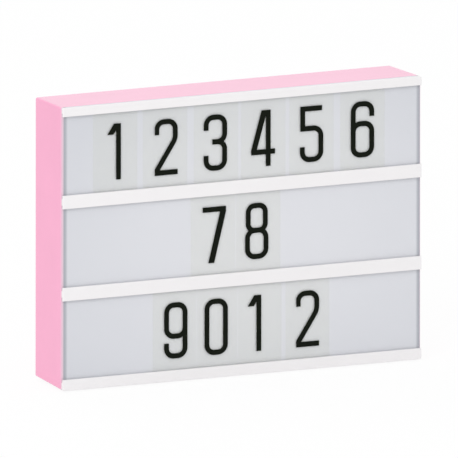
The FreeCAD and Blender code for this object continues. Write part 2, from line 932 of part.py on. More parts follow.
def socket_body():
    y_inside = y_recess - recess_wall
    y_mouth = y_recess + socket_barrel_reach
    body = socket_rod(socket_body_radius, y_inside - socket_body_depth, y_inside)
    barrel = socket_rod(socket_barrel_radius, y_inside, y_mouth)
    mouth = socket_rod(socket_mouth_radius, y_mouth - socket_mouth_depth, y_mouth + 1)
    return joined([body, barrel]).cut(mouth)


def socket_pin():
    y_tip = y_recess + socket_barrel_reach - socket_pin_setback
    y_root = y_recess + socket_barrel_reach - socket_mouth_depth
    pin = socket_rod(socket_pin_radius, y_root, y_tip)
    return pin.makeFillet(socket_pin_radius / 2, edges_at_y(pin, y_tip))


def socket_nut():
    points = []
    for corner in range(7):
        angle = math.radians(60 * corner)
        points.append(Vector(
            socket_x + nut_radius * math.cos(angle), y_recess, control_height + nut_radius * math.sin(angle),
        ))
    nut = Part.Face(Part.makePolygon(points)).extrude(Vector(0, nut_thickness, 0))
    return nut.cut(socket_rod(socket_barrel_radius, y_recess - 1, y_recess + nut_thickness + 1))


def socket_tags():
    """Two solder tags on the back end of the socket."""
    y_end = y_recess - recess_wall - socket_body_depth
    tags = []
    for side in (-1, 1):
        x = socket_x + side * socket_tag_offset
        tags.append(block(
            x - socket_tag_thickness / 2, x + socket_tag_thickness / 2, y_end - socket_tag_length, y_end,
            control_height - socket_tag_width / 2, control_height + socket_tag_width / 2,
        ))
    return Part.makeCompound(tags)


def lead(points):
    """A round lead through the given points, each corner an arc as large as its runs allow."""
    edges = []
    start = points[0]
    for before, corner, after in zip(points, points[1:], points[2:]):
        inward = (before - corner).normalize()
        outward = (after - corner).normalize()
        turn = math.pi - inward.getAngle(outward)
        trim = lead_bend_share * min((before - corner).Length, (after - corner).Length)
        first = corner + inward * trim
        last = corner + outward * trim
        bisector = (inward + outward).normalize()
        radius = trim / math.tan(turn / 2)
        middle = corner + bisector * (math.hypot(radius, trim) - radius)
        edges.append(Part.LineSegment(start, first).toShape())
        edges.append(Part.Arc(first, middle, last).toShape())
        start = last
    edges.append(Part.LineSegment(start, points[-1]).toShape())
    path = Part.Wire(edges)
    heading = (points[1] - points[0]).normalize()
    section = Part.Wire([Part.makeCircle(lead_radius, points[0], heading)])
    return path.makePipeShell([section], True, False)


def tag_end(side, row):
    """Where a lead meets the end of a battery terminal's tag."""
    return Vector(side * (bay_half_length + bay_wall + tag_reach), y_cell + cell_radius / 2, row_heights[row])


def switch_tag_end(index):
    y_end = y_flange - case_depth - terminal_length
    return Vector(switch_x, y_end, terminal_heights()[index])


def board_point(x, z):
    return Vector(x, y_board - board_thickness, z)


def vectors(points):
    return [Vector(*point) for point in points]


def battery_positive_lead():
    start = tag_end(1, 0)
    end = switch_tag_end(0)
    leaving = start + x_axis * lead_rise
    arriving = end - y_axis * lead_rise
    return lead([start, leaving] + vectors(positive_lead_route) + [arriving, end])


def battery_negative_lead():
    start = tag_end(-1, 2)
    end = board_point(*negative_lead_pad)
    leaving = start - x_axis * lead_rise
    arriving = end - y_axis * lead_rise
    return lead([start, leaving] + vectors(negative_lead_route) + [arriving, end])


def switch_lead():
    start = switch_tag_end(1)
    end = board_point(*switch_lead_pad)
    leaving = start - y_axis * lead_rise
    arriving = end - y_axis * lead_rise
    return lead([start, leaving] + vectors(switch_lead_route) + [arriving, end])


def socket_leads():
    runs = []
    y_start = y_recess - recess_wall - socket_body_depth - socket_tag_length
    for side, pad in zip((-1, 1), socket_lead_pads):
        start = Vector(socket_x + side * socket_tag_offset, y_start, control_height)
        end = board_point(*pad)
        runs.append(lead([
            start, start - y_axis * lead_rise, start + Vector(*socket_lead_turn),
            Vector(pad[0], 0, pad[1]) + Vector(*socket_lead_approach), end - y_axis * lead_rise, end,
        ]))
    return Part.makeCompound(runs)


def led_leads():
    """Pair from the driver up to the lower LED board, and the pair that joins the two boards."""
    runs = []
    rise = -y_axis * led_lead_rise
    for x in led_feed_columns:
        start = board_point(x, led_feed_height)
        end = board_point(x, led_board_heights["lower"] - led_lead_drop)
        runs.append(lead([start, start + rise, end + rise, end]))
    for x in led_link_columns:
        start = board_point(x, led_board_heights["lower"] + led_lead_drop)
        end = board_point(x, led_board_heights["upper"] - led_lead_drop)
        middle = (start + end) / 2 + Vector(*led_link_bow)
        runs.append(lead([start, start + rise, middle, end + rise, end]))
    return Part.makeCompound(runs)


def all_parts():
    parts = {
        "rear_housing": rear_housing(),
        "front_frame": front_frame(),
        "diffuser_panel": diffuser_panel(),
        "reflector_sheet": reflector_sheet(),
        "rubber_feet": rubber_feet(),
        "housing_screws": housing_screws(),
        "board_screws": board_screws(),
        "driver_board": driver_board(),
        "driver_components": driver_components(),
        "battery_box": battery_box(),
        "battery_door": battery_door(),
        "battery_positive_terminal": battery_positive_terminal(),
        "battery_negative_terminal": battery_negative_terminal(),
        "battery_bridge_left": end_plate(-1, 0, 1),
        "battery_bridge_right": end_plate(1, 1, 2),
        "battery_contact_springs": battery_contact_springs(),
        "switch_case": switch_case(),
        "switch_rocker": switch_rocker(),
        "switch_plunger": switch_plunger(),
        "switch_spring": switch_spring(),
        "switch_see_saw": switch_see_saw(),
        "switch_terminals": switch_terminals(),
        "socket_body": socket_body(),
        "socket_pin": socket_pin(),
        "socket_nut": socket_nut(),
        "socket_tags": socket_tags(),
        "battery_positive_lead": battery_positive_lead(),
        "battery_negative_lead": battery_negative_lead(),
        "switch_lead": switch_lead(),
        "socket_leads": socket_leads(),
        "led_leads": led_leads(),
        "led_packages": led_packages(),
    }
    for name in rail_spans:
        parts["rail_spacer_" + name] = rail_spacer(name)
        parts["rail_face_" + name] = rail_face(name)
    for name in led_board_heights:
        parts["led_board_" + name] = led_board(name)
    for row in range(3):
        for column in range(2):
            parts[f"battery_cell_{2 * row + column + 1}"] = battery_cell(row, column)
    for row, places in tile_rows.items():
        for number, (centre, width) in enumerate(places, 1):
            parts[f"letter_tile_{row}_{number}"] = letter_tile(row, centre, width)
    return parts


def export(parts):
    os.makedirs("parts", exist_ok=True)
    for name, shape in parts.items():
        if not shape.isValid() or not shape.Solids:
            raise ValueError(f"{name} isn't a valid solid")
        shape.exportStep(f"parts/{name}.step")
        print(f"{name}: {len(shape.Solids)} solid(s), {shape.Volume / 1000:.2f} cm3")
    print(f"{len(parts)} sub-parts")


export(all_parts())
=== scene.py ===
import json
import math

import bmesh
import bpy
from mathutils import Matrix, Vector


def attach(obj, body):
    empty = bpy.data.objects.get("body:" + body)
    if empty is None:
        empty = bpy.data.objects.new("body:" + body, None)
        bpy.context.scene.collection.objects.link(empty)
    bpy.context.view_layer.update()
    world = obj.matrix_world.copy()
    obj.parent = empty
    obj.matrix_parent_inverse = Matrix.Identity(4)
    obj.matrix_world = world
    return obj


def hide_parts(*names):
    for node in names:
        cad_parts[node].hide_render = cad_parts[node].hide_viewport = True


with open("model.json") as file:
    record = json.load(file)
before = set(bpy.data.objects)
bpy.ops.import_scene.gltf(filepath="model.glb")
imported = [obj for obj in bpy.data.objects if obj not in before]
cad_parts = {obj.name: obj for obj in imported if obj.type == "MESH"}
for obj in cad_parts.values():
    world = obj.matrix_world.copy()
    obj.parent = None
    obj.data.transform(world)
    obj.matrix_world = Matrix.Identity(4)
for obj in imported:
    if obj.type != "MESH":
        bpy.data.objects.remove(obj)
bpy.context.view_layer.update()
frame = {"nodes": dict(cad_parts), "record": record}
nodes = frame["nodes"]
mm = 0.001
print("frame loaded:", len(nodes), "nodes")


# camera without perspective, from the front left and a little above

view = {
    "span": 349.2 * mm,
    "distance": 2.5,
    "clip": (0.1, 20),
    "azimuth": -24.36,
    "elevation": 11.61,
    "roll": 0.056,
    "aimRight": 1.14 * mm,
    "aimUp": -0.34 * mm,
    "height": 110 * mm,
}


def makeCamera():
    turn = math.radians(view["azimuth"])
    rise = math.radians(view["elevation"])
    level = math.cos(rise)
    back = Vector((math.sin(turn) * level, -math.cos(turn) * level, math.sin(rise)))
    right = Vector((0, 0, 1)).cross(back).normalized()
    right = Matrix.Rotation(math.radians(view["roll"]), 3, back) @ right
    up = back.cross(right)
    aim = Vector((0, 0, view["height"])) + right * view["aimRight"] + up * view["aimUp"]
    data = bpy.data.cameras.new("mainCamera")
    data.type = "ORTHO"
    data.ortho_scale = view["span"]
    data.clip_start, data.clip_end = view["clip"]
    camera = bpy.data.objects.new("mainCamera", data)
    bpy.context.scene.collection.objects.link(camera)
    turned = Matrix((right, up, back)).transposed().to_4x4()
    camera.matrix_world = Matrix.Translation(aim + back * view["distance"]) @ turned
    bpy.context.scene.camera = camera


makeCamera()


# studio: a pale floor, an even white surround and two soft lamps

studio = {
    "floorHalf": 2.4,
    "floorDrop": 0.2 * mm,
    "floorColour": (0.95, 0.95, 0.95),
    "floorRough": 0.9,
    "floorGlow": 0.93,
    "surround": 0.8,
    "lamps": [
        {"name": "frontLamp", "at": (-2.05, -2.16, 2.13), "size": 1.7, "power": 35.0},
        {"name": "backLamp", "at": (0.0, 1.8, 2.1), "size": 1.0, "power": 8.0},
    ],
}


def mathNode(tree, operation, first, second=None):
    # each of the two may be a number or another node's output
    node = tree.nodes.new("ShaderNodeMath")
    node.operation = operation
    for socket, value in zip(node.inputs, (first, second)):
        if isinstance(value, (int, float)):
            socket.default_value = value
        elif value is not None:
            tree.links.new(value, socket)
    return node.outputs[0]


def lookingRays(tree):
    # one where a ray comes from the camera, a gloss or a clear material, else nought
    path = tree.nodes.new("ShaderNodeLightPath").outputs
    seen = mathNode(tree, "MAXIMUM", path["Is Camera Ray"], path["Is Glossy Ray"])
    return mathNode(tree, "MAXIMUM", seen, path["Is Transmission Ray"])


def makeSurround():
    world = bpy.data.worlds.new("surround")
    bpy.context.scene.world = world
    world.use_nodes = True
    tree = world.node_tree
    lighting = tree.nodes["Background"]
    lighting.inputs["Color"].default_value = (1, 1, 1, 1)
    lighting.inputs["Strength"].default_value = studio["surround"]
    seen = tree.nodes.new("ShaderNodeBackground")
    seen.inputs["Color"].default_value = (1, 1, 1, 1)
    seen.inputs["Strength"].default_value = 1
    mix = tree.nodes.new("ShaderNodeMixShader")
    tree.links.new(lookingRays(tree), mix.inputs["Fac"])
    tree.links.new(lighting.outputs[0], mix.inputs[1])
    tree.links.new(seen.outputs[0], mix.inputs[2])
    tree.links.new(mix.outputs[0], tree.nodes["World Output"].inputs["Surface"])


def makeFloor():
    bm = bmesh.new()
    bmesh.ops.create_grid(bm, x_segments=8, y_segments=8, size=studio["floorHalf"])
    bmesh.ops.translate(bm, vec=(0, 0, -studio["floorDrop"]), verts=bm.verts)
    floor = meshObject("floor", bm)
    material = bpy.data.materials.new("paleFloor")
    material.use_nodes = True
    tree = material.node_tree
    shader = tree.nodes["Principled BSDF"]
    shader.inputs["Base Color"].default_value = (*studio["floorColour"], 1)
    shader.inputs["Roughness"].default_value = studio["floorRough"]
    glow = tree.nodes.new("ShaderNodeEmission")
    glow.inputs["Strength"].default_value = 1
    share = mathNode(tree, "MULTIPLY", lookingRays(tree), studio["floorGlow"])
    mix = tree.nodes.new("ShaderNodeMixShader")
    tree.links.new(share, mix.inputs["Fac"])
    tree.links.new(shader.outputs[0], mix.inputs[1])
    tree.links.new(glow.outputs[0], mix.inputs[2])
    tree.links.new(mix.outputs[0], tree.nodes["Material Output"].inputs["Surface"])
    floor.data.materials.append(material)


def makeLamps():
    for lamp in studio["lamps"]:
        data = bpy.data.lights.new(lamp["name"], "AREA")
        data.size = lamp["size"]
        data.energy = lamp["power"]
        light = bpy.data.objects.new(lamp["name"], data)
        bpy.context.scene.collection.objects.link(light)
        light.location = lamp["at"]
        toward = Vector((0, 0, view["height"])) - Vector(lamp["at"])
        light.rotation_euler = toward.to_track_quat("-Z", "Y").to_euler()


def meshObject(name, bm):
    mesh = bpy.data.meshes.new(name)
    bm.to_mesh(mesh)
    bm.free()
    piece = bpy.data.objects.new(name, mesh)
    bpy.context.scene.collection.objects.link(piece)
    return piece


def rotation(degrees, axis, size=3):
    return Matrix.Rotation(math.radians(degrees), size, axis)


def picked(items, kind):
    return [item for item in items if isinstance(item, kind)]


def newVerts(made):
    return picked(made["geom"], bmesh.types.BMVert)


def joinTo(whole, bm):
    # adds one shape to a mesh of several
    part = bpy.data.meshes.new("part")
    bm.to_mesh(part)
    bm.free()
    whole.from_mesh(part)
    bpy.data.meshes.remove(part)


makeSurround()
makeFloor()
makeLamps()
bpy.context.scene.view_settings.view_transform = "Standard"
print("camera and studio ready")


# finishes: colours are written as 0 to 255 on the screen

def linear(colour):
    # screen value to the value that a shader takes
    steps = [value / 255 for value in colour]
    return [s / 12.92 if s <= 0.04045 else ((s + 0.055) / 1.055) ** 2.4 for s in steps]


def noiseAt(material, scale, detail, rough, stretch):
    # noise on the piece's own coordinates, in cycles a metre
    tree = material.node_tree
    place = tree.nodes.new("ShaderNodeTexCoord")
    spread = tree.nodes.new("ShaderNodeMapping")
    spread.inputs["Scale"].default_value = stretch
    noise = tree.nodes.new("ShaderNodeTexNoise")
    noise.inputs["Scale"].default_value = scale
    noise.inputs["Detail"].default_value = detail
    noise.inputs["Roughness"].default_value = rough
    tree.links.new(place.outputs["Object"], spread.inputs["Vector"])
    tree.links.new(spread.outputs["Vector"], noise.inputs["Vector"])
    return noise.outputs["Fac"]


def ramp(material, source, stops):
    tree = material.node_tree
    node = tree.nodes.new("ShaderNodeValToRGB")
    for element, (position, colour) in zip(node.color_ramp.elements, stops):
        element.position = position
        element.color = (*linear(colour), 1)
    tree.links.new(source, node.inputs["Fac"])
    return node.outputs["Color"]


def ranged(material, source, low, high, start=0.25, end=0.75):
    # start to end becomes low to high
    tree = material.node_tree
    node = tree.nodes.new("ShaderNodeMapRange")
    node.inputs["From Min"].default_value = start
    node.inputs["From Max"].default_value = end
    node.inputs["To Min"].default_value = low
    node.inputs["To Max"].default_value = high
    tree.links.new(source, node.inputs["Value"])
    return node.outputs["Result"]


plain = {
    "metal": 0,
    "specular": 0.5,
    "coat": 0,
    "coatRough": 0.1,
    "darkest": 0.985,  # the blotches' share of the colour
    "blotchScale": 30,
    "glossScale": 180,
    "grain": 0.1,
    "grainScale": 2600,
    "stretch": (1, 1, 1),
}
texture = {
    "blotch": (3, 0.55),  # detail and roughness of each noise
    "gloss": (4, 0.6),
    "grain": (2, 0.5),
    "blotchSpan": (0.3, 0.7),
    "grainDepth": 0.03 * mm,
}


def makeFinish(name, plan):
    # a shader with soft colour blotches, uneven gloss and, where grain isn't 0, a fine grain
    plan = {**plain, **plan}
    material = bpy.data.materials.new(name)
    material.use_nodes = True
    tree = material.node_tree
    shader = tree.nodes["Principled BSDF"]
    shader.inputs["Metallic"].default_value = plan["metal"]
    shader.inputs["Specular IOR Level"].default_value = plan["specular"]
    shader.inputs["Coat Weight"].default_value = plan["coat"]
    shader.inputs["Coat Roughness"].default_value = plan["coatRough"]
    stretch = plan["stretch"]
    darker = [value * plan["darkest"] for value in plan["colour"]]
    blotch = noiseAt(material, plan["blotchScale"], *texture["blotch"], stretch)
    colour = ramp(material, blotch, zip(texture["blotchSpan"], (darker, plan["colour"])))
    tree.links.new(colour, shader.inputs["Base Color"])
    patch = noiseAt(material, plan["glossScale"], *texture["gloss"], stretch)
    tree.links.new(ranged(material, patch, *plan["rough"]), shader.inputs["Roughness"])
    if plan["grain"]:
        grain = noiseAt(material, plan["grainScale"], *texture["grain"], stretch)
        bump = tree.nodes.new("ShaderNodeBump")
        bump.inputs["Strength"].default_value = plan["grain"]
        bump.inputs["Distance"].default_value = texture["grainDepth"]
        tree.links.new(grain, bump.inputs["Height"])
        tree.links.new(bump.outputs["Normal"], shader.inputs["Normal"])
    return material


finishes = {
    "housing_plastic": {
        "colour": (247, 153, 195), "rough": (0.276, 0.294), "glossScale": 12, "coat": 0.75,
        "coatRough": 0.22, "grain": 0,
    },
    "frame_plastic": {"colour": (236, 236, 234), "rough": (0.45, 0.55), "grain": 0.2},
    "rail_plastic": {
        "colour": (240, 238, 239), "rough": (0.28, 0.3), "glossScale": 12, "darkest": 0.996,
        "grain": 0,
    },
    "foot_rubber": {
        "colour": (190, 191, 193), "rough": (0.72, 0.85), "grain": 0.5, "grainScale": 3200,
    },
    "screw_steel": {
        "colour": (176, 177, 180), "rough": (0.24, 0.42), "metal": 1, "darkest": 0.86,
        "blotchScale": 900, "grain": 0.25,
    },
    "circuit_board": {
        "colour": (228, 232, 228), "rough": (0.32, 0.42), "darkest": 0.95, "blotchScale": 420,
    },
    "component_body": {"colour": (38, 38, 41), "rough": (0.4, 0.55), "darkest": 0.8},
    "led_body": {
        "colour": (240, 226, 148), "rough": (0.25, 0.35), "darkest": 0.93, "blotchScale": 500,
    },
    "contact_metal": {
        "colour": (206, 205, 200), "rough": (0.16, 0.3), "metal": 1, "darkest": 0.9,
        "blotchScale": 260, "stretch": (1, 1, 6), "grain": 0.12,
    },
    "terminal_brass": {
        "colour": (205, 176, 104), "rough": (0.22, 0.38), "metal": 1, "darkest": 0.84,
        "blotchScale": 420, "grain": 0.15,
    },
    "switch_plastic": {
        "colour": (34, 34, 36), "rough": (0.3, 0.42), "darkest": 0.86, "grain": 0.22,
    },
    "red_lead": {
        "colour": (186, 44, 38), "rough": (0.4, 0.5), "darkest": 0.9, "grainScale": 1200,
    },
    "black_lead": {
        "colour": (36, 36, 38), "rough": (0.4, 0.5), "darkest": 0.85, "grainScale": 1200,
    },
    "reflector_card": {
        "colour": (240, 240, 238), "rough": (0.6, 0.7), "grain": 0.3, "grainScale": 1500,
    },
}
materials = {slot: makeFinish(slot, plan) for slot, plan in finishes.items()}


# opal sheet: painted shade that darkens it away from the middle, a painted shade line where it
# lies on the walls, and a rim and sides that take the housing's tint

opal = {
    "middle": (221, 222, 227),
    # the painted shade colour towards the sheet's edges
    "edge": (208, 210, 216),
    # the painted shade colour of the line where the sheet lies on the walls
    "wallShade": (172, 174, 182),
    "rim": (223, 196, 210),
    "side": (240, 184, 209),
    # centre and reach of the painted shade, which is lightest at the centre
    "centre": (20 * mm, 98 * mm),
    "reach": (150 * mm, 110 * mm),
    "cloud": 0.06,
    "cloudScale": 16,
    # the painted shade line over the walls is shifted a little to one side
    "wallShadeShift": 0.6 * mm,  # the line over the walls sits a little to one side
    "wallShadeSpan": (145.2 * mm, 148.0 * mm),
    "rimStart": 149.1 * mm,
    "sideStart": 149.98 * mm,
    "rough": (0.4, 0.5),
}


def axisValue(material, axis):
    tree = material.node_tree
    place = tree.nodes.new("ShaderNodeTexCoord")
    split = tree.nodes.new("ShaderNodeSeparateXYZ")
    tree.links.new(place.outputs["Object"], split.inputs["Vector"])
    return split.outputs[axis]


def offCentre(material, axis, centre):
    # distance along one axis, on either side of the centre
    tree = material.node_tree
    off = mathNode(tree, "SUBTRACT", axisValue(material, axis), centre)
    return mathNode(tree, "ABSOLUTE", off)


def laidOver(material, colour, share, other):
    # another colour over the first, by its share
    tree = material.node_tree
    mix = tree.nodes.new("ShaderNodeMix")
    mix.data_type = "RGBA"
    tree.links.new(share, mix.inputs[0])
    tree.links.new(colour, mix.inputs[6])
    mix.inputs[7].default_value = (*linear(other), 1)
    return mix.outputs[2]


def makeOpal():
    material = makeFinish("opal_sheet", {
        "colour": opal["middle"], "rough": opal["rough"], "darkest": 0.99, "blotchScale": 14,
        "grain": 0.12,
    })
    tree = material.node_tree
    squares = []
    for axis, centre, reach in zip("XZ", opal["centre"], opal["reach"]):
        share = mathNode(tree, "DIVIDE", offCentre(material, axis, centre), reach)
        squares.append(mathNode(tree, "POWER", share, 2))
    # painted shade growing away from the centre; the cloud added to it is random tone
    away = mathNode(tree, "MULTIPLY", mathNode(tree, "ADD", *squares), 0.5)
    noise = noiseAt(material, opal["cloudScale"], *texture["grain"], plain["stretch"])
    cloud = ranged(material, noise, -opal["cloud"], opal["cloud"])
    uneven = mathNode(tree, "ADD", away, cloud)
    colour = ramp(material, uneven, [(0.0, opal["middle"]), (1.0, opal["edge"])])
    fromWalls = offCentre(material, "X", opal["wallShadeShift"])
    # painted shade: a darker line where the sheet lies on the walls
    wallShade = ranged(material, fromWalls, 0, 1, *opal["wallShadeSpan"])
    wallShade.node.interpolation_type = "SMOOTHSTEP"
    rim = mathNode(tree, "GREATER_THAN", fromWalls, opal["rimStart"])
    side = mathNode(tree, "GREATER_THAN", offCentre(material, "X", 0), opal["sideStart"])
    for share, other in ((wallShade, "wallShade"), (rim, "rim"), (side, "side")):
        colour = laidOver(material, colour, share, opal[other])
    tree.links.new(colour, tree.nodes["Principled BSDF"].inputs["Base Color"])
    return material


# letter film: clear, a touch yellow, with a slightly uneven gloss

film = {"colour": (212, 218, 140), "cover": 0.026, "rough": (0.1, 0.18)}


def makeFilm():
    material = makeFinish("tile_film", {
        "colour": film["colour"], "rough": film["rough"], "darkest": 0.98, "grain": 0.04,
        "grainScale": 240,
    })
    shader = material.node_tree.nodes["Principled BSDF"]
    shader.inputs["Alpha"].default_value = film["cover"]
    return material


# cells: a plain sleeve over the can, a band at the positive end, bare metal at both ends

cells = {
    "sleeve": (62, 74, 92),
    "band": (150, 156, 164),
    "bare": (200, 200, 198),
    "bareRadius": 6.35 * mm,
    "rows": [75.7 * mm, 60.5 * mm, 45.3 * mm],
    "positiveEnds": [1, -1, 1],
    "tips": [53.6, 3.1],  # millimetres from the middle, as length and bandStart are millimetres
    "length": 50.5,
    "bandStart": 38.0,
    "depth": 17.65 * mm,
    "canRadius": 7.25 * mm,
}


def makeCell(row, positiveEnd):
    material = makeFinish(f"cell_sleeve_{row + 1}", {
        "colour": cells["sleeve"], "rough": (0.28, 0.36), "darkest": 0.92, "blotchScale": 60,
        "grain": 0.05,
    })
    tree = material.node_tree
    shader = tree.nodes["Principled BSDF"]
    colour = shader.inputs["Base Color"].links[0].from_socket
    squares = []
    for axis, centre in (("Y", cells["depth"]), ("Z", cells["rows"][row])):
        squares.append(mathNode(tree, "POWER", offCentre(material, axis, centre), 2))
    fromAxis = mathNode(tree, "SQRT", mathNode(tree, "ADD", *squares))
    bare = mathNode(tree, "LESS_THAN", fromAxis, cells["bareRadius"])
    # both cells of a row point the same way, so one remainder serves the two
    length = cells["length"]
    along = mathNode(tree, "MULTIPLY", axisValue(material, "X"), positiveEnd / mm)
    past = mathNode(tree, "SUBTRACT", cells["tips"][0] + 2 * length, along)
    fromTip = mathNode(tree, "MODULO", past, length)
    banded = mathNode(tree, "LESS_THAN", fromTip, length - cells["bandStart"])
    for share, other in ((banded, "band"), (bare, "bare")):
        colour = laidOver(material, colour, share, cells[other])
    tree.links.new(colour, shader.inputs["Base Color"])
    tree.links.new(bare, shader.inputs["Metallic"])
    return material


materials["opal_sheet"] = makeOpal()
materials["tile_film"] = makeFilm()
cellMaterials = [makeCell(row, end) for row, end in enumerate(cells["positiveEnds"])]


def dressNodes():
    for entry in frame["record"]["subparts"]:
        name = entry["node"]
        material = materials.get(entry["material_slot"])
        if name.startswith("battery_cell_"):
            material = cellMaterials[(int(name[-1]) - 1) // 2]  # two cells in a row
        mesh = nodes[name].data
        mesh.materials.clear()
        mesh.materials.append(material)


dressNodes()
print("finishes on all nodes")


# printed characters, one on each tile: sizes and places are in millimetres

digits = {
    "stroke": 4.0,
    "height": 43.6,
    "width": 19.5,
    "corner": 8.0,
    "waist": 22.4,
    "bowlTop": 26.2,
    "tail": 4,
    "overlap": 0.05,
    "ink": 0.09,
    "tileFace": -25.6,
    "steps": 10,
    "colour": (15, 20, 11),
}
digitShapes = {
    "1": {"stemAt": -0.4, "flagFoot": -5.2, "flagTop": 0.4, "flagWide": 5.2, "flagTall": 8.4},
    "2": {"inset": 0.3, "shoulder": 4.6, "bend": (11, 33), "slope": 32, "slopeEnd": 1},
    "3": {"waistTail": 1, "upperTail": 4.4},
    "4": {"stemAt": 2.2, "barAt": 9.2, "pastLeft": 0.3, "pastRight": 0.2, "slopeTop": 1.0,
          "slopeWide": 4.7},
    "5": {"inset": 0.3, "barInset": 1},
    "6": {"hookEnd": 6},
    "7": {"slopeFoot": -2.6, "slopeWide": 4.9},
    "8": {"upperInset": 0.6, "upperCorner": 0.8},
}
rows = {
    "top": {
        "middle": 183.55, "signs": "123456", "at": [-104.5, -63.1, -21.8, 18.2, 58.7, 101.3],
    },
    "middle": {"middle": 111.85, "signs": "78", "at": [-22.6, 12.9]},
    "bottom": {"middle": 40.15, "signs": "9012", "at": [-54.8, -21.0, 13.1, 55.4]},
}


def drawStroke(start, heading, moves):
    # a flat ribbon in the XZ plane: a number goes straight on, a pair is a radius and the
    # degrees of a turn to the right
    bm = bmesh.new()
    angle = math.radians(heading)
    forward = Vector((math.sin(angle), 0, math.cos(angle)))
    side = Vector((forward.z, 0, -forward.x))
    place = Vector((start[0], 0, start[1]))
    half = digits["stroke"] / 2
    tip = [bm.edges.new([bm.verts.new(place - side * half), bm.verts.new(place + side * half)])]
    for move in moves:
        if isinstance(move, tuple):
            radius, turn = move
            centre = place + side * math.copysign(radius, turn)
            made = bmesh.ops.spin(
                bm, geom=tip + list(tip[0].verts), cent=centre, axis=(0, 1, 0),
                angle=math.radians(turn), steps=digits["steps"],
            )
            tip = picked(made["geom_last"], bmesh.types.BMEdge)
            swing = rotation(turn, "Y")
            place = centre + swing @ (place - centre)
            forward = swing @ forward
            side = swing @ side
        else:
            made = bmesh.ops.extrude_edge_only(bm, edges=tip)
            fresh = newVerts(made)
            bmesh.ops.translate(bm, vec=forward * move, verts=fresh)
            tip = [edge for edge in picked(made["geom"], bmesh.types.BMEdge)
                   if all(vert in fresh for vert in edge.verts)]
            place = place + forward * move
    bmesh.ops.remove_doubles(bm, verts=bm.verts, dist=0.001)
    return bm


def slantedBar(low, high, width, zLow, zHigh):
    # a bar with level ends, from x = low at the bottom to x = high at the top
    bm = bmesh.new()
    ends = [bm.verts.new((low - width / 2, 0, zLow)), bm.verts.new((low + width / 2, 0, zLow))]
    made = bmesh.ops.extrude_edge_only(bm, edges=[bm.edges.new(ends)])
    bmesh.ops.translate(bm, vec=(high - low, 0, zHigh - zLow), verts=newVerts(made))
    return bm


def levelBar(left, right, zLow, zHigh):
    return slantedBar((left + right) / 2, (left + right) / 2, right - left, zLow, zHigh)


def ring(half, low, high, radius):
    # closed band with round corners, half wide at its centre line
    across = 2 * (half - radius)
    tall = high - low - 2 * radius
    turn = (radius, 90)
    return drawStroke(
        (-half, (low + high) / 2), 0,
        [tall / 2, turn, across, turn, tall, turn, across, turn, tall / 2],
    )


def digitStrokes(sign):
    shape = digitShapes.get("6" if sign == "9" else sign)
    stroke = digits["stroke"]
    top = digits["height"]
    half = digits["width"] / 2
    centre = half - stroke / 2
    radius = digits["corner"] - stroke / 2
    high = top - stroke / 2
    low = stroke / 2
    waist = digits["waist"]
    bowlTop = digits["bowlTop"]
    tail = digits["tail"]
    across = 2 * (centre - radius)
    turn = (radius, 90)
    hookStart = high - radius - tail
    if sign == "0":
        return [ring(centre, low, high, radius)]
    if sign == "1":
        stem = levelBar(shape["stemAt"], shape["stemAt"] + stroke, 0, top)
        flag = slantedBar(
            shape["flagFoot"], shape["flagTop"], shape["flagWide"], top - shape["flagTall"], top,
        )
        return [stem, flag]
    if sign == "2":
        curve = drawStroke(
            (-centre, hookStart), 0,
            [tail, turn, across, turn, shape["shoulder"], shape["bend"], shape["slope"]],
        )
        left = shape["inset"] - half
        # the slope ends inside the foot, and not past the foot's left end
        cuts = [((0, 0, shape["slopeEnd"]), (0, 0, -1)), ((left, 0, 0), (-1, 0, 0))]
        for corner, away in cuts:
            bmesh.ops.bisect_plane(
                curve, geom=curve.verts[:] + curve.edges[:] + curve.faces[:], plane_co=corner,
                plane_no=away, clear_outer=True,
            )
        return [curve, levelBar(left, half, 0, stroke)]
    if sign == "3":
        upper = drawStroke(
            (-centre, hookStart), 0,
            [tail, turn, across, turn, high - waist - 2 * radius, turn, shape["upperTail"]],
        )
        lower = drawStroke(
            (centre - radius - shape["waistTail"], waist), 90,
            [shape["waistTail"], turn, waist - low - 2 * radius, turn, across, turn, tail],
        )
        return [upper, lower]
    if sign == "4":
        left = -half - shape["pastLeft"]
        barTop = shape["barAt"] + stroke
        stem = levelBar(shape["stemAt"], shape["stemAt"] + stroke, 0, top)
        bar = levelBar(left, half + shape["pastRight"], shape["barAt"], barTop)
        slope = slantedBar(
            left + shape["slopeWide"] / 2, shape["slopeTop"], shape["slopeWide"],
            barTop - digits["overlap"], top,
        )
        return [stem, bar, slope]
    if sign == "5":
        left = shape["inset"] - half
        end = half - shape["barInset"]
        bowl = drawStroke(
            (shape["barInset"] - centre, bowlTop), 90,
            [2 * centre - radius - shape["barInset"], turn, bowlTop - low - 2 * radius, turn,
             across, turn, tail],
        )
        stem = levelBar(left, left + stroke, bowlTop - stroke / 2, top)
        return [stem, bowl, levelBar(-end, end, top - stroke, top)]
    if sign in "69":
        back = (radius, -90)
        hook = drawStroke(
            (centre, hookStart), 0,
            [tail, back, across, back, high - low - 2 * radius - shape["hookEnd"]],
        )
        bowl = ring(centre, low, bowlTop, radius)
        if sign == "9":
            middle = (0, 0, top / 2)
            for bm in (hook, bowl):
                bmesh.ops.rotate(bm, cent=middle, matrix=rotation(180, "Y"), verts=bm.verts)
        return [hook, bowl]
    if sign == "7":
        slope = slantedBar(
            shape["slopeFoot"], half - shape["slopeWide"] / 2, shape["slopeWide"],
            0, top - stroke + digits["overlap"],
        )
        return [levelBar(-half, half, top - stroke, top), slope]
    upper = ring(centre - shape["upperInset"], waist, high, radius - shape["upperCorner"])
    return [upper, ring(centre, low, waist, radius)]


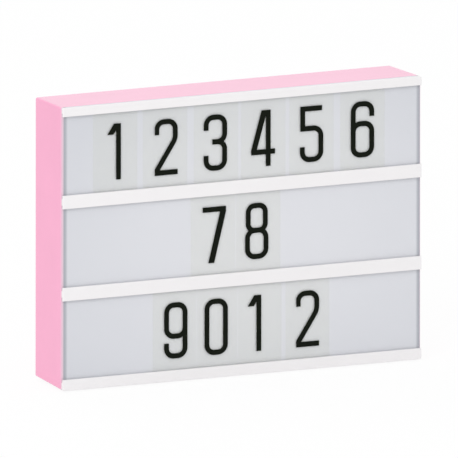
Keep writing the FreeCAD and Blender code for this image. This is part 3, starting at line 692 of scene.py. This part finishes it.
def mergeShapes(shapes, name):
    # one solid from several that overlap
    base = shapes[0]
    for other in shapes[1:]:
        step = base.modifiers.new("join", "BOOLEAN")
        step.operation = "UNION"
        step.solver = "EXACT"
        step.object = other
    bpy.context.view_layer.update()
    joined = base.evaluated_get(bpy.context.evaluated_depsgraph_get())
    result = bpy.data.meshes.new_from_object(joined)
    for shape in shapes:
        bpy.data.objects.remove(shape)
    result.name = name
    piece = bpy.data.objects.new(name, result)
    bpy.context.scene.collection.objects.link(piece)
    return piece


def printDigit(name, sign, x, middle, material):
    shapes = []
    for bm in digitStrokes(sign):
        made = bmesh.ops.extrude_face_region(bm, geom=bm.faces[:])
        bmesh.ops.translate(bm, vec=(0, -digits["ink"], 0), verts=newVerts(made))
        bmesh.ops.recalc_face_normals(bm, faces=bm.faces)
        shapes.append(meshObject(name + "_stroke", bm))
    piece = mergeShapes(shapes, name)
    foot = Vector((x, digits["tileFace"], middle - digits["height"] / 2))
    piece.data.transform(Matrix.Translation(foot * mm) @ Matrix.Scale(mm, 4))
    piece.data.materials.clear()
    piece.data.materials.append(material)
    return piece


def printDigits():
    ink = makeFinish("printed_ink", {
        "colour": digits["colour"], "rough": (0.5, 0.6), "specular": 0.08, "darkest": 0.9,
        "blotchScale": 120, "grain": 0.05, "grainScale": 1400,
    })
    for row, plan in rows.items():
        for number, (sign, x) in enumerate(zip(plan["signs"], plan["at"]), 1):
            piece = printDigit(f"digit_{row}_{number}", sign, x, plan["middle"], ink)
            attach(piece, f"tile_{row}_{number}")


printDigits()
print("characters printed")


# contact springs: one tapered coil at the flat end of each row of cells

coils = {
    "length": 6.2,
    "turns": 4,
    "wire": 0.42,
    "wide": 3.45,
    "narrow": 1.75,
    "sides": [-1, 1, -1],
    "stepsEachTurn": 28,
    "wireSides": 10,
}


def makeSprings():
    whole = bmesh.new()
    for side, row in zip(coils["sides"], cells["rows"]):
        bm = bmesh.new()
        wire = coils["wire"]
        wide = coils["wide"]
        made = bmesh.ops.create_circle(bm, segments=coils["wireSides"], radius=wire, cap_ends=True)
        bmesh.ops.translate(bm, vec=(wide, 0, 0), verts=made["verts"])
        steps = coils["turns"] * coils["stepsEachTurn"]
        travel = coils["length"] - 2 * wire
        bmesh.ops.rotate(bm, cent=(0, 0, 0), matrix=rotation(90, "X"), verts=bm.verts)
        bmesh.ops.spin(
            bm, geom=bm.verts[:] + bm.edges[:] + bm.faces[:], cent=(0, 0, 0), axis=(0, 0, 1),
            dvec=(0, 0, travel / steps), angle=math.tau * coils["turns"], steps=steps,
        )
        for vert in bm.verts:
            out = Vector((vert.co.x, vert.co.y, 0))
            share = min(max(vert.co.z / travel, 0), 1)
            vert.co -= out.normalized() * (wide - coils["narrow"]) * share
        bmesh.ops.translate(bm, vec=(0, 0, wire), verts=bm.verts)
        # the coil's own Z becomes the way from the end plate to the cell
        bmesh.ops.rotate(bm, cent=(0, 0, 0), matrix=rotation(-side * 90, "Y"), verts=bm.verts)
        bmesh.ops.scale(bm, vec=(mm, mm, mm), verts=bm.verts)
        start = (side * cells["tips"][0] * mm, cells["depth"], row)
        bmesh.ops.translate(bm, vec=start, verts=bm.verts)
        bmesh.ops.recalc_face_normals(bm, faces=bm.faces)
        joinTo(whole, bm)
    piece = meshObject("contactSprings", whole)
    piece.data.materials.append(materials["contact_metal"])
    for polygon in piece.data.polygons:
        polygon.use_smooth = True
    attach(piece, "light_box")
    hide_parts("battery_contact_springs")


makeSprings()
print("contact springs wound")


# marks: a bar and a ring on the rocker, plus and minus on the cells

rocker = {
    "pivot": Vector((104 * mm, 20.8 * mm, 40 * mm)),
    "rise": 3.9,
    "endRise": 5.1,
    "reach": 8.0,
    "rest": -8.0,
    "markAt": 4.7,
    "barWide": 0.7,
    "barTall": 3.2,
    "ringRadius": 1.45,
    "ringWide": 0.6,
    "ringSides": 32,
    "ink": 0.05,
}


def makeRockerMarks(ink):
    # the face rises towards both ends, and each mark lies on its slope
    climb = rocker["endRise"] - rocker["rise"]
    slope = math.degrees(math.atan2(climb, rocker["reach"]))
    rise = rocker["rise"] + climb * rocker["markAt"] / rocker["reach"]
    bar = bmesh.new()
    bmesh.ops.create_cube(bar, size=1)
    size = (rocker["barWide"], rocker["ink"], rocker["barTall"])
    bmesh.ops.scale(bar, vec=size, verts=bar.verts)
    hoop = bmesh.new()
    bmesh.ops.create_circle(hoop, segments=rocker["ringSides"], radius=rocker["ringRadius"])
    made = bmesh.ops.extrude_edge_only(hoop, edges=hoop.edges[:])
    share = 1 - rocker["ringWide"] / rocker["ringRadius"]
    bmesh.ops.scale(hoop, vec=(share, share, 1), verts=newVerts(made))
    made = bmesh.ops.extrude_face_region(hoop, geom=hoop.faces[:])
    bmesh.ops.translate(hoop, vec=(0, 0, rocker["ink"]), verts=newVerts(made))
    bmesh.ops.rotate(hoop, cent=(0, 0, 0), matrix=rotation(-90, "X"), verts=hoop.verts)
    placed = Matrix.Translation(rocker["pivot"]) @ Matrix.Scale(mm, 4)
    resting = rotation(rocker["rest"], "X", 4)
    for name, bm, end in (("rockerBar", bar, 1), ("rockerRing", hoop, -1)):
        bmesh.ops.recalc_face_normals(bm, faces=bm.faces)
        piece = meshObject(name, bm)
        onFace = Matrix.Translation((0, rise, end * rocker["markAt"]))
        piece.data.transform(placed @ resting @ onFace @ rotation(-end * slope, "X", 4))
        piece.data.materials.append(ink)
        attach(piece, "rocker")


signs = {
    "arm": 3.4,
    "thick": 0.8,
    "proud": 0.03,
    "lift": 0.01,
    "cuts": 6,
    "fromTip": 5.0,
    "fromBase": 45.0,
}


def makeCellSigns(ink):
    # a plus is two strips, the second a hair above the first, and a minus is one
    whole = bmesh.new()
    cuts = signs["cuts"]
    arm, thick = signs["arm"], signs["thick"]
    strips = [((thick, arm, 1), 0), ((arm, thick, 1), signs["lift"])]
    for end, row in zip(cells["positiveEnds"], cells["rows"]):
        for tip in cells["tips"]:
            for distance, chosen in ((signs["fromTip"], strips), (signs["fromBase"], strips[:1])):
                for size, lift in chosen:
                    bm = bmesh.new()
                    bmesh.ops.create_grid(bm, x_segments=cuts, y_segments=cuts, size=0.5)
                    bmesh.ops.scale(bm, vec=size, verts=bm.verts)
                    bmesh.ops.rotate(bm, cent=(0, 0, 0), matrix=rotation(90, "X"), verts=bm.verts)
                    bmesh.ops.scale(bm, vec=(mm, mm, mm), verts=bm.verts)
                    radius = cells["canRadius"] + (signs["proud"] + lift) * mm
                    for vert in bm.verts:
                        vert.co.y = math.sqrt(radius ** 2 - vert.co.z ** 2)
                    x = end * (tip - distance) * mm
                    bmesh.ops.translate(bm, vec=(x, cells["depth"], row), verts=bm.verts)
                    bmesh.ops.reverse_faces(bm, faces=bm.faces)
                    joinTo(whole, bm)
    piece = meshObject("cellSigns", whole)
    piece.data.materials.append(ink)
    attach(piece, "light_box")


markInk = makeFinish("mark_ink", {
    "colour": (232, 232, 230), "rough": (0.4, 0.5), "blotchScale": 700,
})
makeRockerMarks(markInk)
makeCellSigns(markInk)
print("marks printed")
